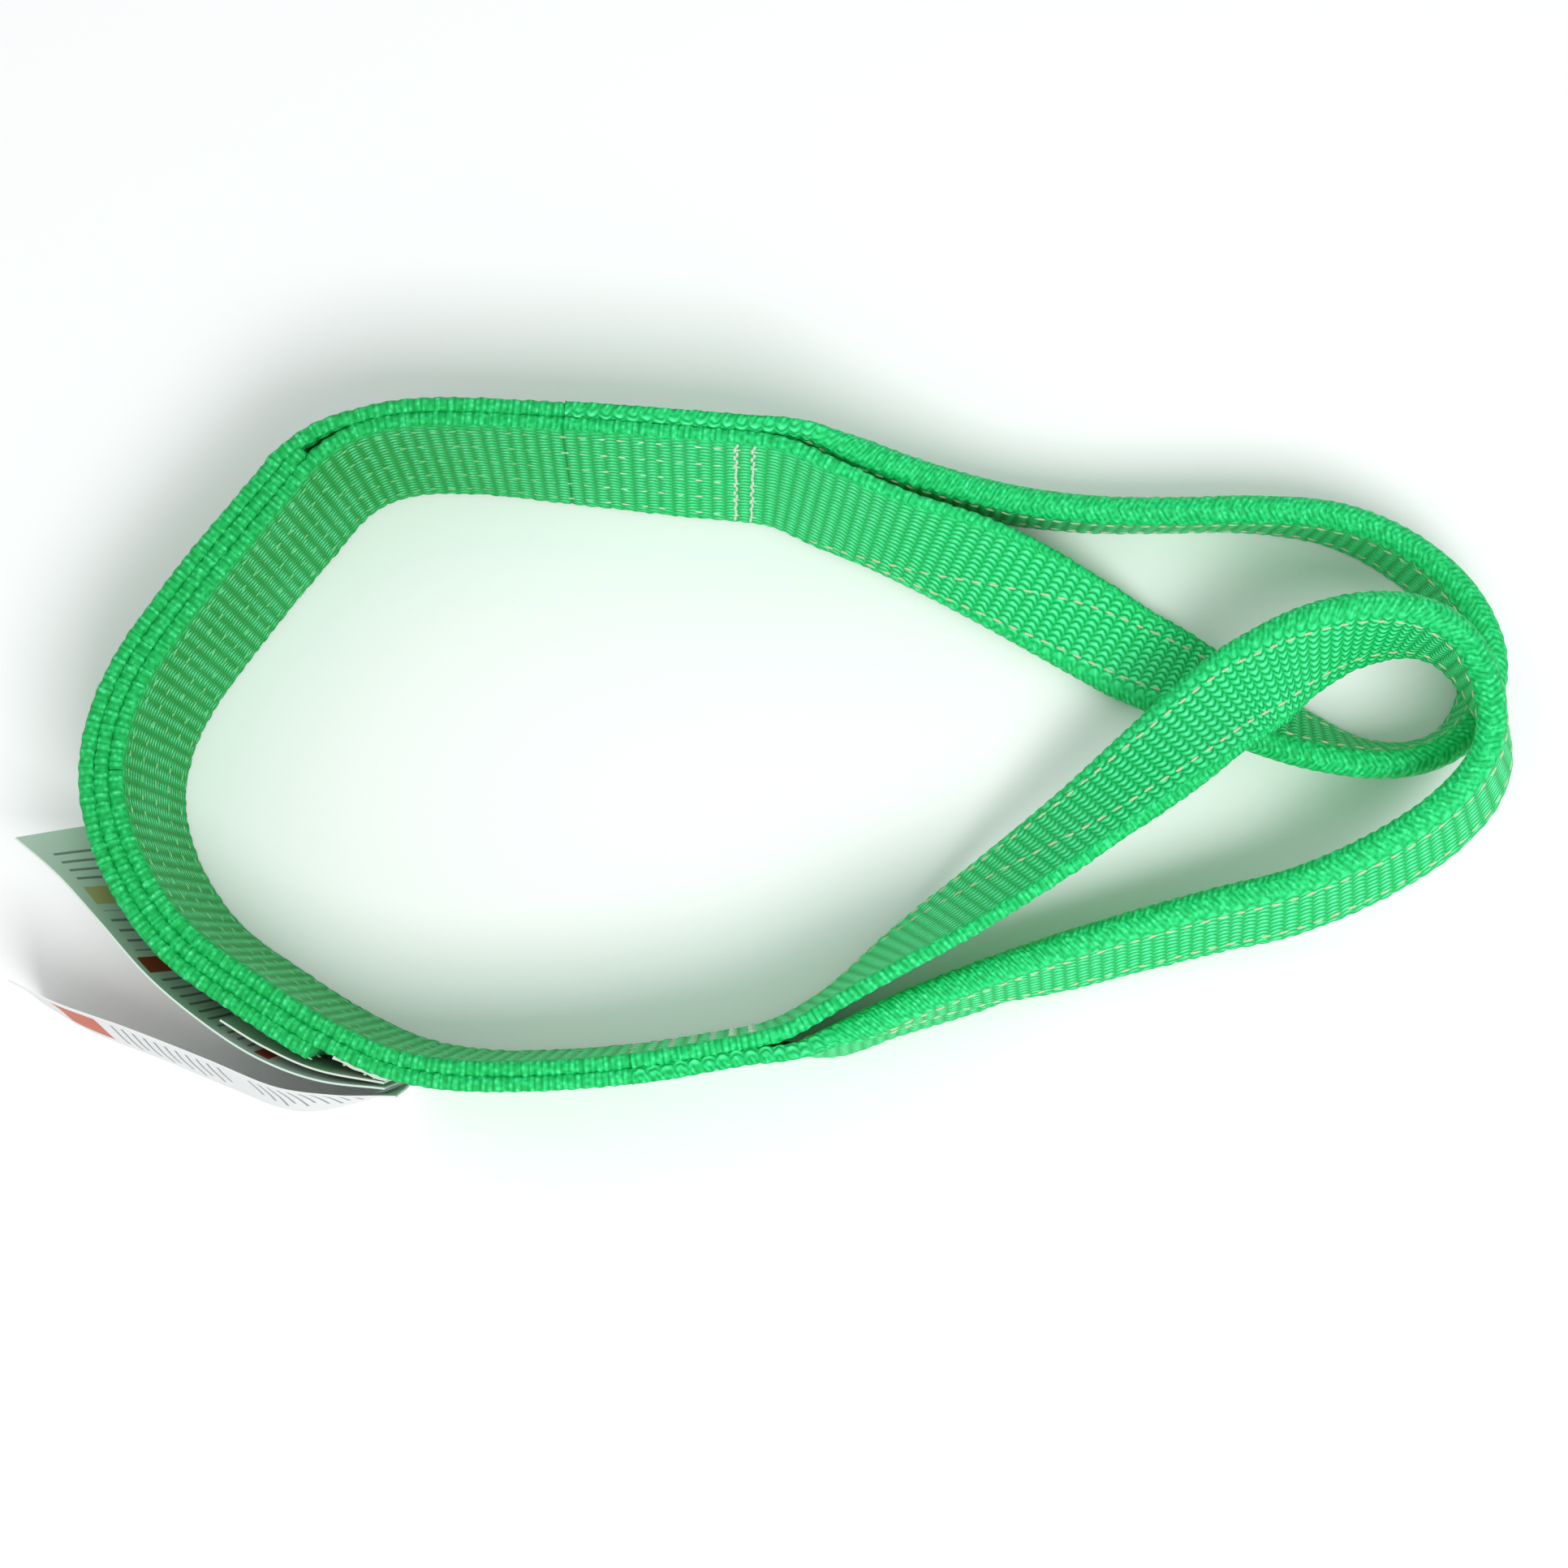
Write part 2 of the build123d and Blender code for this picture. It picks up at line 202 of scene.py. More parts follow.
def webOutline(width):
    # one row of the outline for each station: across, face, cloth coordinate, kind, outward direction
    t, full = web["thickness"], web["width"]
    back = np.maximum(full - width, 0.0)
    grown = np.clip(back / (2.2 * t), 0, 1)
    grown = grown * grown * (3 - 2 * grown)
    roundU = t * (0.35 + 0.65 * grown)
    half = t / 2
    cols = []

    def add(u, v, q, kind, nu, nv):
        n = len(width)
        spread = lambda a: np.broadcast_to(np.asarray(a, float), (n,))
        cols.append([spread(u), spread(v), spread(q), spread(kind), spread(nu), spread(nv)])

    gap = 0.05
    for k in np.linspace(0, 1, 17):
        u = (width - half * 0.8) * (1 - k) + roundU * k
        add(u, t, width - u, 0, 0, 1)
    for a in np.linspace(0, 1, 13)[1:-1]:
        angle = np.pi * a
        low = np.where(angle > np.pi / 2, grown, 1.0)
        flat = gap * (1 - grown) if a > 0.5 else 0.0
        add(roundU * (1 - np.sin(angle)), t * np.cos(angle) * low + flat, width + (a - 0.5) * 8, 1,
            -np.sin(angle), np.cos(angle))
    tail = np.maximum(back - half * 0.8, roundU * 0.6)
    for k in np.linspace(0, 1, 13):
        u = roundU * (1 - k) + tail * k
        add(u, -t * grown, full - (back - u), 0, 0, -1)
    for a in np.linspace(0, 1, 7)[1:-1]:
        angle = np.pi * a
        add(tail + half * 0.8 * np.sin(angle) * grown, (-half + -half * np.cos(angle)) * grown, full, 2,
            np.sin(angle), -np.cos(angle))
    for k in np.linspace(0, 1, 7):
        u = tail * (1 - k) + 0.6 * k
        add(u, -gap * grown, full - (back - u), 3, 0, 1)
    for k in np.linspace(0, 1, 15):
        u = 0.7 * (1 - k) + (width - half * 0.8) * k
        add(u, gap * grown, width - u, 0, 0, -1)
    for a in np.linspace(0, 1, 7)[1:-1]:
        angle = np.pi * a
        add(width - half * 0.8 + half * 0.8 * np.sin(angle), half - half * np.cos(angle), 0, 2,
            np.sin(angle), -np.cos(angle))
    return np.array(cols).transpose(1, 2, 0)


def relief(q, s, kind, width):
    # height of the woven surface: weft ribs, bumps of the selvage and V stitches of the fold
    uneven = np.random.default_rng(7).random(4096)
    wander = 0.45 * np.sin(q * 0.33 + s * 0.021) + 0.25 * np.sin(q * 0.9 + 1.3)
    strength = 0.65 + 0.6 * uneven[np.floor(s / web["ribPitch"]).astype(int) % 4096]
    ribs = web["ribHeight"] * strength * (0.5 - 0.5 * np.cos(2 * np.pi * s / web["ribPitch"] + wander)) ** 0.6
    bead = s / web["selvageBumpPitch"] + 0.12 * np.sin(s * 0.23)
    beadStrength = 0.7 + 0.6 * uneven[np.floor(bead).astype(int) % 4096]
    bumps = web["selvageBumpHeight"] * beadStrength * np.abs(np.sin(np.pi * bead)) ** 0.7
    vStitch = s / web["knitPitch"] + np.abs(q - width) / web["knitSlope"]
    knit = web["knitHeight"] * (0.5 + 0.5 * np.cos(2 * np.pi * vStitch))
    folded = np.clip((web["width"] - width) / 6, 0, 1)
    onFold = np.clip(1.4 - np.abs(q - width) / 3.2, 0, 1) * folded
    plain = np.where(kind == 2, bumps, ribs)
    plain = np.where((kind == 1) & (folded < 0.5), bumps, plain)
    value = plain * (1 - onFold) + knit * onFold
    return np.where(kind == 3, 0, value)


def sweepWeb(name, part, material, lengthOffset=0.0):
    part = part if "along" in part else resampled(part, web["sampleStep"])
    u, v, q, kind, nu, nv = webOutline(part["width"])
    s = part["along"][:, None] + lengthOffset + np.zeros_like(u)
    lift = relief(q, s, kind, part["width"][:, None])
    u = u + nu * lift * 0.8
    v = v + nv * lift * np.where(kind == 3, 0, 1)
    points = (part["pos"][:, None] + part["across"][:, None] * u[..., None]
              + part["face"][:, None] * v[..., None]) * mm
    floor = 0.0002
    points[..., 2] = np.maximum(points[..., 2], floor)
    rows, cols = u.shape
    verts = points.reshape(-1, 3)
    i, j = np.meshgrid(np.arange(rows - 1), np.arange(cols), indexing="ij")
    k = (j + 1) % cols
    quads = np.stack([i * cols + j, i * cols + k, (i + 1) * cols + k, (i + 1) * cols + j], -1).reshape(-1, 4)
    mesh = bpy.data.meshes.new(name)
    faces = quads.tolist()
    faces += [list(range(cols))[::-1], [(rows - 1) * cols + c for c in range(cols)]]
    mesh.from_pydata(verts.tolist(), [], faces)
    layer = mesh.uv_layers.new(name="webCloth")
    loops = np.empty(len(mesh.loops), int)
    mesh.loops.foreach_get("vertex_index", loops)
    cloth = np.column_stack([q.reshape(-1) * mm, s.reshape(-1) * mm])
    layer.data.foreach_set("uv", cloth[loops].astype(np.float32).reshape(-1))
    folded = np.clip((web["width"] - part["width"][:, None]) / 6, 0, 1)
    onEdge = np.clip(1.5 - np.abs(q - part["width"][:, None]) / 3.2, 0, 1) * folded
    onEdge = np.maximum(onEdge, np.clip(1.4 - q / 1.6, 0, 1))
    onEdge = np.maximum(onEdge, np.clip(1.4 - (web["width"] - q) / 1.6, 0, 1))
    edgeMask = mesh.attributes.new("edgeBand", "FLOAT", "POINT")
    edgeMask.data.foreach_set("value", onEdge.reshape(-1).astype(np.float32))
    # painted shade: a mask that darkens the web's colour towards the far bend of the body (negative x)
    paintedShade = np.clip((-20 - points[..., 0] / mm) / 90, 0, 1)
    paintedShadeMask = mesh.attributes.new("paintedShade", "FLOAT", "POINT")
    paintedShadeMask.data.foreach_set("value", paintedShade.reshape(-1).astype(np.float32))
    mesh.polygons.foreach_set("use_smooth", [True] * len(mesh.polygons))
    mesh.materials.append(material)
    mesh.update()
    obj = bpy.data.objects.new(name, mesh)
    bpy.context.collection.objects.link(obj)
    turnOutwards(obj)
    return obj


def turnOutwards(obj):
    bm = bmesh.new()
    bm.from_mesh(obj.data)
    bmesh.ops.recalc_face_normals(bm, faces=bm.faces)
    if bm.calc_volume(signed=True) < 0:
        bmesh.ops.reverse_faces(bm, faces=bm.faces)
    bm.to_mesh(obj.data)
    bm.free()


def newSocket(group, name, kind, side, value=None):
    socket = group.interface.new_socket(name=name, in_out=side, socket_type=kind)
    if value is not None:
        socket.default_value = value
    return socket


def wire(tree, a, b):
    tree.links.new(a, b)


def math(tree, operation, a, b=None, clamp=False):
    node = tree.nodes.new("ShaderNodeMath")
    node.operation = operation
    node.use_clamp = clamp
    for index, value in ((0, a), (1, b)):
        if value is None:
            continue
        if isinstance(value, (int, float)):
            node.inputs[index].default_value = value
        else:
            wire(tree, value, node.inputs[index])
    return node.outputs[0]


def weaveGroup():
    # fine yarns that lie over each rib, shifted by half a yarn from rib to rib
    group = bpy.data.node_groups.new("yarnWeave", "ShaderNodeTree")
    newSocket(group, "Cloth", "NodeSocketVector", "INPUT")
    newSocket(group, "Edge", "NodeSocketFloat", "INPUT", 0.0)
    newSocket(group, "Yarn pitch", "NodeSocketFloat", "INPUT", 0.00135)
    newSocket(group, "Yarn bow", "NodeSocketFloat", "INPUT", 0.3)
    newSocket(group, "Rib pitch", "NodeSocketFloat", "INPUT", 0.0032)
    newSocket(group, "Bead pitch", "NodeSocketFloat", "INPUT", 0.0039)
    for name in ("Height", "Groove", "Glint", "Mottle"):
        newSocket(group, name, "NodeSocketFloat", "OUTPUT")
    start = group.nodes.new("NodeGroupInput")
    end = group.nodes.new("NodeGroupOutput")
    split = group.nodes.new("ShaderNodeSeparateXYZ")
    wire(group, start.outputs["Cloth"], split.inputs[0])

    def noise(scale, detail):
        node = group.nodes.new("ShaderNodeTexNoise")
        node.inputs["Scale"].default_value = scale
        node.inputs["Detail"].default_value = detail
        wire(group, start.outputs["Cloth"], node.inputs["Vector"])
        return node.outputs[0]

    def ridge(value):
        return math(group, "ABSOLUTE", math(group, "SINE", math(group, "MULTIPLY", value, 3.14159)))

    fuzz, broad = noise(650, 3), noise(34, 5)
    ribs = math(group, "DIVIDE", split.outputs["Y"], start.outputs["Rib pitch"])
    ribHalf = math(group, "MULTIPLY", math(group, "FLOOR", ribs), 0.5)
    yarn = math(group, "DIVIDE", split.outputs["X"], start.outputs["Yarn pitch"])
    bow = math(group, "MULTIPLY", ridge(ribs), start.outputs["Yarn bow"])
    yarn = math(group, "ADD", math(group, "ADD", yarn, ribHalf), bow)
    yarn = math(group, "ADD", yarn, math(group, "MULTIPLY", fuzz, 0.5))
    wave, across = ridge(yarn), ridge(ribs)
    faceHeight = math(group, "MULTIPLY", wave, math(group, "ADD", math(group, "MULTIPLY", across, 0.7), 0.3))
    # short slanting yarns on the selvages and on the fold
    fromFold = math(group, "ABSOLUTE", math(group, "SUBTRACT", split.outputs["X"], 0.0259))
    slant = math(group, "ADD", math(group, "DIVIDE", split.outputs["Y"], 0.0017),
                 math(group, "DIVIDE", fromFold, 0.0019))
    bead = ridge(math(group, "DIVIDE", split.outputs["Y"], start.outputs["Bead pitch"]))
    place = group.nodes.new("ShaderNodeTexCoord")
    flecks = group.nodes.new("ShaderNodeTexVoronoi")
    flecks.inputs["Scale"].default_value = 620
    wire(group, place.outputs["Object"], flecks.inputs["Vector"])
    fleck = math(group, "SUBTRACT", 1.0, math(group, "MULTIPLY", flecks.outputs["Distance"], 1.5), True)
    edgeHeight = math(group, "MULTIPLY", ridge(math(group, "ADD", slant, fuzz)),
                      math(group, "ADD", math(group, "MULTIPLY", bead, 0.5), 0.5))
    edgeHeight = math(group, "ADD", math(group, "MULTIPLY", edgeHeight, 0.45),
                      math(group, "MULTIPLY", fleck, 0.55))
    keep = math(group, "SUBTRACT", 1.0, start.outputs["Edge"], True)
    height = math(group, "ADD", math(group, "MULTIPLY", faceHeight, keep),
                  math(group, "MULTIPLY", edgeHeight, start.outputs["Edge"]))
    wire(group, math(group, "ADD", height, math(group, "MULTIPLY", fuzz, 0.3)), end.inputs["Height"])
    # Groove is painted shade: it is highest in the low parts between yarns and ribs
    wire(group, math(group, "POWER", math(group, "SUBTRACT", 1.0, height, True), 1.5), end.inputs["Groove"])
    glint = math(group, "MULTIPLY", math(group, "POWER", height, 3.0), math(group, "MULTIPLY", fuzz, 1.9), True)
    wire(group, glint, end.inputs["Glint"])
    wire(group, broad, end.inputs["Mottle"])
    return group


def mixColour(tree, share, a, b):
    node = tree.nodes.new("ShaderNodeMix")
    node.data_type = "RGBA"
    for socket, value in ((node.inputs[0], share), (node.inputs[6], a), (node.inputs[7], b)):
        if isinstance(value, (int, float, tuple)):
            socket.default_value = value
        else:
            wire(tree, value, socket)
    return node.outputs[2]


def shaderBase(name, roughness):
    material = bpy.data.materials.new(name)
    material.use_nodes = True
    shader = material.node_tree.nodes["Principled BSDF"]
    shader.inputs["Roughness"].default_value = roughness
    shader.inputs["Specular IOR Level"].default_value = 0.25
    return material, material.node_tree, shader


def clothUv(tree):
    node = tree.nodes.new("ShaderNodeUVMap")
    node.uv_map = "webCloth"
    return node.outputs[0]


weave = weaveGroup()

greenWeb = {
    "plain": (0.012, 0.80, 0.215, 1),
    "paintedBendShade": (0.001, 0.34, 0.032, 1),    # painted shade in the bend of the body, darker there
    "yarnPitch": 1.85,
    "yarnBow": 0.5,
    "wear": 1.3,
    "paintedGrooveShade": (0.001, 0.25, 0.040, 1),
    "glint": (0.16, 0.95, 0.48, 1),
    "faded": (0.075, 0.72, 0.30, 1),
    "roughness": 0.55,
    "bump": 0.9,
}


def makeGreenWeb():
    material, tree, shader = shaderBase("greenWebbing", greenWeb["roughness"])
    group = tree.nodes.new("ShaderNodeGroup")
    group.node_tree = weave
    group.inputs["Rib pitch"].default_value = web["ribPitch"] * mm
    group.inputs["Yarn pitch"].default_value = greenWeb["yarnPitch"] * mm
    group.inputs["Yarn bow"].default_value = greenWeb["yarnBow"]
    group.inputs["Bead pitch"].default_value = web["selvageBumpPitch"] * mm
    edge = tree.nodes.new("ShaderNodeAttribute")
    edge.attribute_name = "edgeBand"
    wire(tree, edge.outputs["Fac"], group.inputs["Edge"])
    wire(tree, clothUv(tree), group.inputs["Cloth"])
    patch = math(tree, "SUBTRACT", group.outputs["Mottle"], 0.46, True)
    patch = math(tree, "MULTIPLY", patch, greenWeb["wear"], True)
    # painted shade: the bend of the body is mixed towards a darker green, half as much on the edges
    paintedShade = tree.nodes.new("ShaderNodeAttribute")
    paintedShade.attribute_name = "paintedShade"
    patch = math(tree, "MULTIPLY", patch, math(tree, "SUBTRACT", 1.0, edge.outputs["Fac"], True))
    exposed = math(tree, "MULTIPLY", edge.outputs["Fac"], 0.5)
    shade = math(tree, "MULTIPLY", paintedShade.outputs["Fac"], math(tree, "SUBTRACT", 1.0, exposed, True))
    colour = mixColour(tree, shade, greenWeb["plain"], greenWeb["paintedBendShade"])
    colour = mixColour(tree, patch, colour, greenWeb["faded"])
    colour = mixColour(tree, math(tree, "MULTIPLY", group.outputs["Glint"], 0.8), colour, greenWeb["glint"])
    # painted shade: the grooves of the weave are darkened in the colour
    colour = mixColour(tree, math(tree, "MULTIPLY", group.outputs["Groove"], 0.85), colour, greenWeb["paintedGrooveShade"])
    wire(tree, colour, shader.inputs["Base Color"])
    shader.inputs["Specular IOR Level"].default_value = 0.2
    bump = tree.nodes.new("ShaderNodeBump")
    bump.inputs["Strength"].default_value = greenWeb["bump"]
    bump.inputs["Distance"].default_value = 0.0005
    wire(tree, group.outputs["Height"], bump.inputs["Height"])
    wire(tree, bump.outputs[0], shader.inputs["Normal"])
    return material


def makeThread(name, threadPaint):
    material, tree, shader = shaderBase(name, 0.7)
    place = tree.nodes.new("ShaderNodeTexCoord")
    twist = tree.nodes.new("ShaderNodeTexWave")
    twist.inputs["Scale"].default_value = 900
    twist.inputs["Distortion"].default_value = 2
    wire(tree, place.outputs["Object"], twist.inputs["Vector"])
    wire(tree, mixColour(tree, twist.outputs["Fac"], threadPaint[0], threadPaint[1]),
         shader.inputs["Base Color"])
    bump = tree.nodes.new("ShaderNodeBump")
    bump.inputs["Strength"].default_value = 0.6
    bump.inputs["Distance"].default_value = 0.0002
    wire(tree, twist.outputs["Fac"], bump.inputs["Height"])
    wire(tree, bump.outputs[0], shader.inputs["Normal"])
    return material


def makeTagSheet(name, colour, bands, ruled=()):
    # bands and ruled blocks: from and to along the tag, from and to across it, in metres; then
    # the band's colour, or the spacing and thickness of a block of plain grey rules
    material, tree, shader = shaderBase(name, 0.5)
    split = tree.nodes.new("ShaderNodeSeparateXYZ")
    wire(tree, clothUv(tree), split.inputs[0])
    noise = tree.nodes.new("ShaderNodeTexNoise")
    noise.inputs["Scale"].default_value = 60
    noise.inputs["Detail"].default_value = 5
    wire(tree, clothUv(tree), noise.inputs["Vector"])
    dull = tuple(0.82 * c for c in colour[:3]) + (1,)
    result = mixColour(tree, math(tree, "MULTIPLY", noise.outputs[0], 0.7, True), colour, dull)
    for (fromLength, toLength, low, high, paint) in bands:
        mask = math(tree, "MULTIPLY", math(tree, "GREATER_THAN", split.outputs["Y"], fromLength),
                    math(tree, "LESS_THAN", split.outputs["Y"], toLength))
        mask = math(tree, "MULTIPLY", mask, math(tree, "GREATER_THAN", split.outputs["X"], low))
        mask = math(tree, "MULTIPLY", mask, math(tree, "LESS_THAN", split.outputs["X"], high))
        result = mixColour(tree, mask, result, paint)
    for (fromLength, toLength, low, high, pitch, thick) in ruled:
        line = math(tree, "LESS_THAN", math(tree, "MODULO", split.outputs["Y"], pitch), thick)
        ragged = math(tree, "MULTIPLY", math(tree, "FRACT", math(tree, "MULTIPLY", math(tree, "FLOOR",
                      math(tree, "DIVIDE", split.outputs["Y"], pitch)), 0.37)), 0.010)
        mask = math(tree, "MULTIPLY", line, math(tree, "GREATER_THAN", split.outputs["Y"], fromLength))
        mask = math(tree, "MULTIPLY", mask, math(tree, "LESS_THAN", split.outputs["Y"], toLength))
        mask = math(tree, "MULTIPLY", mask, math(tree, "GREATER_THAN", split.outputs["X"],
                    math(tree, "ADD", ragged, low)))
        mask = math(tree, "MULTIPLY", mask, math(tree, "LESS_THAN", split.outputs["X"], high))
        result = mixColour(tree, math(tree, "MULTIPLY", mask, 0.8), result, (0.10, 0.12, 0.12, 1))
    wire(tree, result, shader.inputs["Base Color"])
    bump = tree.nodes.new("ShaderNodeBump")
    bump.inputs["Strength"].default_value = 0.25
    bump.inputs["Distance"].default_value = 0.0004
    wire(tree, noise.outputs[0], bump.inputs["Height"])
    wire(tree, bump.outputs[0], shader.inputs["Normal"])
    return material


green = makeGreenWeb()
thread = makeThread("creamThread", ((0.40, 0.52, 0.26, 1), (0.80, 0.83, 0.62, 1)))
buriedThread = makeThread("greenTintedThread", ((0.08, 0.50, 0.16, 1), (0.42, 0.75, 0.38, 1)))
whiteThread = makeThread("whiteThread", ((0.55, 0.72, 0.52, 1), (0.84, 0.90, 0.80, 1)))
print("materials made")


upperEye = eyeStations(upperEyeRoute, 1)
lowerEye = eyeStations(lowerEyeRoute, -1)
shares = lengthAlong(smoothRows(bodyRoute)[:, :2])
shares = shares / shares[-1]
rowShare = lambda row: shares[min(row * 12, len(shares) - 1)]

upperCut, centreCut, lowerCut = rowShare(2), rowShare(9), rowShare(16)
upperCrease, outerEnd, lowerCrease = rowShare(5), rowShare(13), rowShare(14)


def nearEnds(part, x, reach):
    return np.abs(part["pos"][:, 0] - x) < reach


def eyeStrap(name, eye, mainHalf, tailHalf, throatX, offset):
    line = resampled(joined(mainHalf, eye, tailHalf), web["sampleStep"])
    line = relaxed(line, 60, nearEnds(line, throatX, 9))
    line = resampled(line, web["sampleStep"])
    return line, sweepWeb(name, line, green, offset)


tailLayers = [(0, 1), (upperCrease - 0.02, 1), (upperCrease + 0.02, 2), (1, 2)]
bodyPieces = {
    "upperMainPly": (plyStations([(0, 0), (1, 0)], False, upperCut, centreCut), "upper_arm"),
    "upperTailPly": (plyStations(tailLayers, False, upperCut, outerEnd - 0.004), "upper_arm"),
    "lowerMainPly": (plyStations([(0, 0), (1, 0)], False, centreCut, lowerCut), "lower_arm"),
    "lowerTailPly": (plyStations([(0, 1), (1, 1)], False, upperCrease + 0.006, lowerCut), "lower_arm"),
}
bodyLines = {name: resampled(part, web["sampleStep"]) for name, (part, _) in bodyPieces.items()}
spans = {name: line["along"][-1] for name, line in bodyLines.items()}
offsets = {"lowerMainPly": spans["upperMainPly"]}    # the ribs run on from piece to piece
bodyWebs = {name: sweepWeb(name, line, green, offsets.get(name, 0.0)) for name, line in bodyLines.items()}

upperLine, upperEyeWeb = eyeStrap(
    "upperEyeStrap", upperEye,
    backwards(plyStations([(0, 0), (1, 0)], False, 0.0, upperCut)),
    plyStations([(0, 1), (1, 1)], True, 0.0, upperCut), 1.5, 0.0)
lowerLine, lowerEyeWeb = eyeStrap(
    "lowerEyeStrap", lowerEye,
    plyStations([(0, 0), (1, 0)], False, lowerCut, 1.0),
    backwards(plyStations([(0, 1), (1, 1)], True, lowerCut, 1.0)), 0.5,
    spans["upperMainPly"] + spans["lowerMainPly"])
print("webs made")


stitches = {
    "pitch": 4.8,
    "length": 3.1,
    "radius": 0.40,
    "bodyLength": 2.4,
    "bodyRadius": 0.30,
    "seamPitch": 2.4,
    "seamLength": 3.0,
    "seamRadius": 0.42,
    "seamPlaces": (4.2, 9.0),    # back from the throat
    "proud": 0.16,    # thread centre above the face
    "bodyRows": (0.1, 0.3, 0.5, 0.7, 0.9),    # shares of the width
}


def stitchTree(material):
    tree = bpy.data.node_groups.new("stitchRow", "GeometryNodeTree")
    newSocket(tree, "Geometry", "NodeSocketGeometry", "INPUT")
    newSocket(tree, "Pitch", "NodeSocketFloat", "INPUT", 0.0048)
    newSocket(tree, "Length", "NodeSocketFloat", "INPUT", 0.003)
    newSocket(tree, "Radius", "NodeSocketFloat", "INPUT", 0.0005)
    newSocket(tree, "Unevenness", "NodeSocketFloat", "INPUT", 0.15)
    newSocket(tree, "Geometry", "NodeSocketGeometry", "OUTPUT")
    make = tree.nodes.new
    start, end = make("NodeGroupInput"), make("NodeGroupOutput")
    toCurve = make("GeometryNodeMeshToCurve")
    spaced = make("GeometryNodeResampleCurve")
    spaced.mode = "LENGTH"
    tangent = make("GeometryNodeInputTangent")
    align = make("FunctionNodeAlignRotationToVector")
    align.axis = "X"
    ball = make("GeometryNodeMeshUVSphere")
    ball.inputs["Segments"].default_value = 8
    ball.inputs["Rings"].default_value = 6
    ball.inputs["Radius"].default_value = 1.0
    place = make("GeometryNodeInstanceOnPoints")
    size = make("ShaderNodeCombineXYZ")
    vary = make("FunctionNodeRandomValue")
    vary.data_type = "FLOAT"
    vary.inputs["Seed"].default_value = 3
    spread = make("ShaderNodeMath")
    spread.operation = "MULTIPLY_ADD"
    half = make("ShaderNodeMath")
    half.operation = "MULTIPLY"
    half.inputs[1].default_value = 0.5
    stretch = make("ShaderNodeMath")
    stretch.operation = "MULTIPLY"
    real = make("GeometryNodeRealizeInstances")
    paint = make("GeometryNodeSetMaterial")
    paint.inputs["Material"].default_value = material
    smooth = make("GeometryNodeSetShadeSmooth")
    wire(tree, start.outputs["Geometry"], toCurve.inputs["Mesh"])
    wire(tree, toCurve.outputs[0], spaced.inputs["Curve"])
    wire(tree, start.outputs["Pitch"], spaced.inputs["Length"])
    wire(tree, spaced.outputs[0], place.inputs["Points"])
    wire(tree, tangent.outputs[0], align.inputs["Vector"])
    wire(tree, align.outputs[0], place.inputs["Rotation"])
    wire(tree, ball.outputs[0], place.inputs["Instance"])
    wire(tree, vary.outputs[1], spread.inputs[0])
    wire(tree, start.outputs["Unevenness"], spread.inputs[1])
    spread.inputs[2].default_value = 0.92
    wire(tree, start.outputs["Length"], half.inputs[0])
    wire(tree, half.outputs[0], stretch.inputs[0])
    wire(tree, spread.outputs[0], stretch.inputs[1])
    wire(tree, stretch.outputs[0], size.inputs["X"])
    wire(tree, start.outputs["Radius"], size.inputs["Y"])
    wire(tree, start.outputs["Radius"], size.inputs["Z"])
    wire(tree, size.outputs[0], place.inputs["Scale"])
    wire(tree, place.outputs[0], smooth.inputs["Geometry"])
    wire(tree, smooth.outputs[0], real.inputs["Geometry"])
    wire(tree, real.outputs[0], paint.inputs["Geometry"])
    wire(tree, paint.outputs[0], end.inputs["Geometry"])
    return tree


threadTrees = {
    "cream": stitchTree(thread),
    "buried": stitchTree(buriedThread),
    "white": stitchTree(whiteThread),
}


def sewn(name, lines, pitch, length, radius, kind="cream"):
    # one object for all the rows of one piece; lines are lists of points in millimetres
    verts, edges = [], []
    for line in lines:
        first = len(verts)
        verts += (np.asarray(line) * mm).tolist()
        edges += [(first + i, first + i + 1) for i in range(len(line) - 1)]
    mesh = bpy.data.meshes.new(name + "Path")
    mesh.from_pydata(verts, edges, [])
    source = bpy.data.objects.new(name + "Path", mesh)
    bpy.context.collection.objects.link(source)
    modifier = source.modifiers.new("stitches", "NODES")
    threadTree = threadTrees[kind]
    modifier.node_group = threadTree
    wanted = {"Pitch": pitch * mm, "Length": length * mm, "Radius": radius * mm}
    for item in threadTree.interface.items_tree:
        if item.in_out == "INPUT" and item.name in wanted:
            modifier[item.identifier] = wanted[item.name]
    bpy.context.view_layer.update()
    made = bpy.data.meshes.new_from_object(source.evaluated_get(bpy.context.evaluated_depsgraph_get()))
    source.modifiers.remove(modifier)
    bpy.data.objects.remove(source)
    made.name = name
    obj = bpy.data.objects.new(name, made)
    bpy.context.collection.objects.link(obj)
    return obj


def onWeb(line, u, v, chosen):
    points = line["pos"] + line["across"] * np.asarray(u)[..., None] + line["face"] * np.asarray(v)[..., None]
    return points[chosen]


def eyeRows(line, near=(4.2, 5.4), far=(3.4, 20.5)):
    # two rows through both legs, from where the folded leg is wide enough
    back = web["width"] - line["width"]
    grown = np.clip((back - 1.5) / 23.4, 0, 1)
    outer = np.clip(back / (2.2 * web["thickness"]), 0, 1)
    outer = -web["thickness"] * outer * outer * (3 - 2 * outer) - stitches["proud"]
    rows = []
    for low, high, least in ((near[0], near[1], 7.5), (far[0], far[1], 2.0)):
        u = low + (high - low) * grown
        chosen = back > least
        rows.append(onWeb(line, u, web["thickness"] + stitches["proud"], chosen))
        rows.append(onWeb(line, u, outer, back > max(least, 9.0)))
    return rows


def bodyRows(line, face, chosen):
    v = web["thickness"] + stitches["proud"] if face == "inner" else -stitches["proud"]
    return [onWeb(line, share * web["width"], v, chosen) for share in stitches["bodyRows"]]


def armHalf(line, start):
    # the stretch of an eye's line that still lies on the sewn body
    x = line["pos"][:, 0]
    half = np.arange(len(x)) < len(x) / 2
    return (half if start else ~half) & (x < -3)


